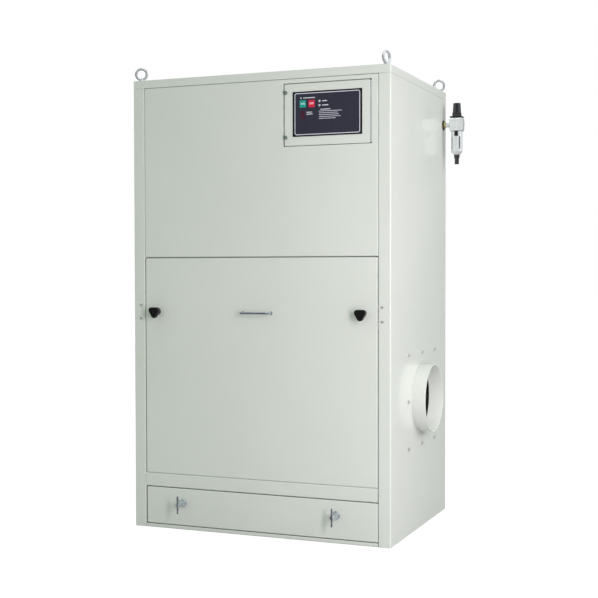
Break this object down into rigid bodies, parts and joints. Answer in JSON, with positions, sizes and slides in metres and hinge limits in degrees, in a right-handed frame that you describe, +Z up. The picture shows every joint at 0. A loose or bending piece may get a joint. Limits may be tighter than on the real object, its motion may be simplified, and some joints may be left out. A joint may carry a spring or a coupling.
{
  "type": "pulse jet dust collector",
  "caption": "Free-standing sheet metal dust collector cabinet with pleated cartridges, lift-off filter door, dust drawer, round side inlet and filter regulator.",
  "frame": {"origin": "on the floor under the middle of the cabinet", "axes": "+Z up, -Y towards the front with the filter door, +X towards the side with the dust inlet"},
  "size_m": [1.0846, 0.7937, 1.7113],
  "materials": {
    "cabinet_paint": "pale grey-green gloss powder coat",
    "zinc": "bright zinc plate",
    "chrome": "polished plate",
    "black_plastic": "moulded black nylon",
    "latch_plastic": "moulded dark grey-green",
    "keypad_film": "printed polyester film, satin",
    "brass": "turned",
    "cast_alloy": "fine cast, silver paint",
    "bowl_plastic": "clear smoked polycarbonate",
    "seal_rubber": "black sponge rubber",
    "filter_media": "pleated polyester felt"
  },
  "bodies": {
    "cabinet": {"base_pan": "cabinet_paint", "left_side_panel": "cabinet_paint", "right_side_panel": "cabinet_paint", "top_cap": "cabinet_paint", "lower_rear_panel": "cabinet_paint", "upper_rear_panel": "cabinet_paint", "exhaust_grille": "cabinet_paint", "upper_front_panel": "cabinet_paint", "cross_rail": "cabinet_paint", "door_frame": "cabinet_paint", "door_seal": "seal_rubber", "left_knob_bracket": "cabinet_paint", "right_knob_bracket": "cabinet_paint", "left_runner": "zinc", "right_runner": "zinc", "control_box": "cabinet_paint", "control_hinge": "zinc", "inlet_collar": "cabinet_paint", "lifting_eye_front_left": "zinc", "lifting_eye_front_right": "zinc", "lifting_eye_rear_left": "zinc", "lifting_eye_rear_right": "zinc", "wall_grommet": "seal_rubber", "air_union": "brass", "air_nipple": "cast_alloy", "regulator_body": "cast_alloy", "regulator_bonnet": "black_plastic", "bowl_guard": "cast_alloy", "guard_lock": "black_plastic", "filter_bowl": "bowl_plastic", "drain_cock": "black_plastic", "tube_sheet": "cabinet_paint", "cartridge_front_left": "filter_media", "cartridge_front_middle": "filter_media", "cartridge_front_right": "filter_media", "cartridge_rear_left": "filter_media", "cartridge_rear_middle": "filter_media", "cartridge_rear_right": "filter_media"},
    "filter_door": {"filter_door": "cabinet_paint", "door_handle": "chrome"},
    "left_clamp_knob": {"left_clamp_knob": "black_plastic"},
    "right_clamp_knob": {"right_clamp_knob": "black_plastic"},
    "dust_drawer": {"drawer_front": "cabinet_paint", "dust_tray": "zinc"},
    "left_wing_bolt": {"left_wing_bolt": "chrome"},
    "right_wing_bolt": {"right_wing_bolt": "chrome"},
    "control_door": {"control_door": "cabinet_paint", "keypad": "keypad_film", "upper_control_latch": "latch_plastic", "lower_control_latch": "latch_plastic"},
    "pressure_dial": {"pressure_dial": "black_plastic"}
  },
  "joints": [
    {"name": "control_door_hinge", "type": "hinge", "parent": "cabinet", "child": "control_door", "pos_m": [0.429, -0.3635, 1.5025], "axis": [0, 0, 1], "range_deg": [0, 110]},
    {"name": "filter_door_lift_off", "type": "slide", "parent": "cabinet", "child": "filter_door", "axis": [0, -1, 0], "range_m": [0, 0.25]},
    {"name": "left_clamp_knob_turn", "type": "hinge", "parent": "filter_door", "child": "left_clamp_knob", "pos_m": [-0.4, -0.365, 0.804], "axis": [0, -1, 0], "continuous": true},
    {"name": "right_clamp_knob_turn", "type": "hinge", "parent": "filter_door", "child": "right_clamp_knob", "pos_m": [0.4, -0.365, 0.804], "axis": [0, -1, 0], "continuous": true},
    {"name": "dust_drawer_slide", "type": "slide", "parent": "cabinet", "child": "dust_drawer", "axis": [0, -1, 0], "range_m": [0, 0.5]},
    {"name": "left_wing_bolt_turn", "type": "hinge", "parent": "dust_drawer", "child": "left_wing_bolt", "pos_m": [-0.3, -0.365, 0.099], "axis": [0, -1, 0], "continuous": true},
    {"name": "right_wing_bolt_turn", "type": "hinge", "parent": "dust_drawer", "child": "right_wing_bolt", "pos_m": [0.3, -0.365, 0.099], "axis": [0, -1, 0], "continuous": true},
    {"name": "pressure_dial_turn", "type": "hinge", "parent": "cabinet", "child": "pressure_dial", "pos_m": [0.5545, 0.324, 1.585], "axis": [0, 0, 1], "continuous": true}
  ]
}
